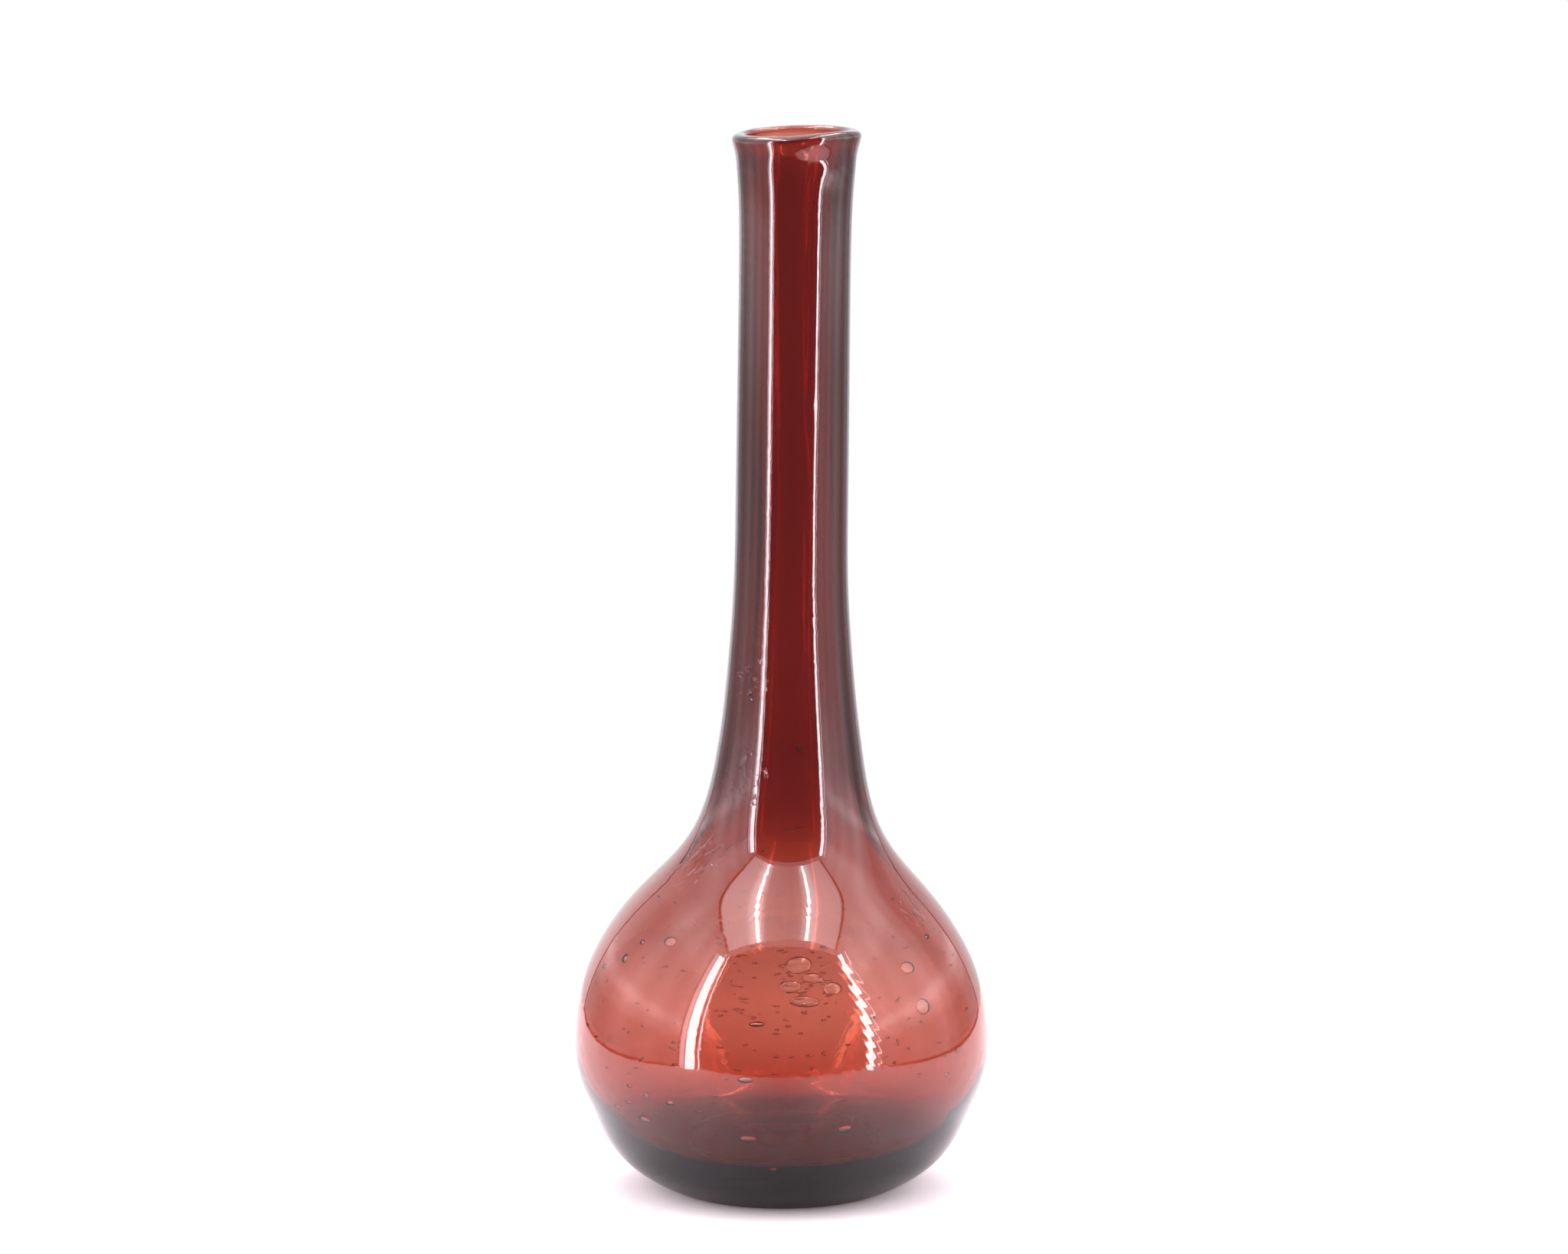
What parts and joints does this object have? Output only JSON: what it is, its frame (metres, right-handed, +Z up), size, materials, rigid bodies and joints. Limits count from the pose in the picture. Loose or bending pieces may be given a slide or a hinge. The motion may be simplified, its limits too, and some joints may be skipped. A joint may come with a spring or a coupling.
{
  "type": "bottle vase",
  "caption": "Free-blown glass bottle vase: a squat round bulb with a thick hollowed base and a long, slightly leaning open neck for a single stem.",
  "frame": {"origin": "centre of the standing ring, on the surface that the vase stands on", "axes": "+Z up along the vase; the neck leans towards +X; -Y is the pictured front"},
  "size_m": [0.118, 0.118, 0.3009],
  "materials": {
    "red_glass": "deep red-pink clear glass, coloured all through, fire-polished, with seeds and faint cords",
    "scar_glass": "the same glass, cracked off and left rough"
  },
  "bodies": {
    "root": {"vase_glass": "red_glass", "punty_mark": "scar_glass"}
  },
  "joints": []
}
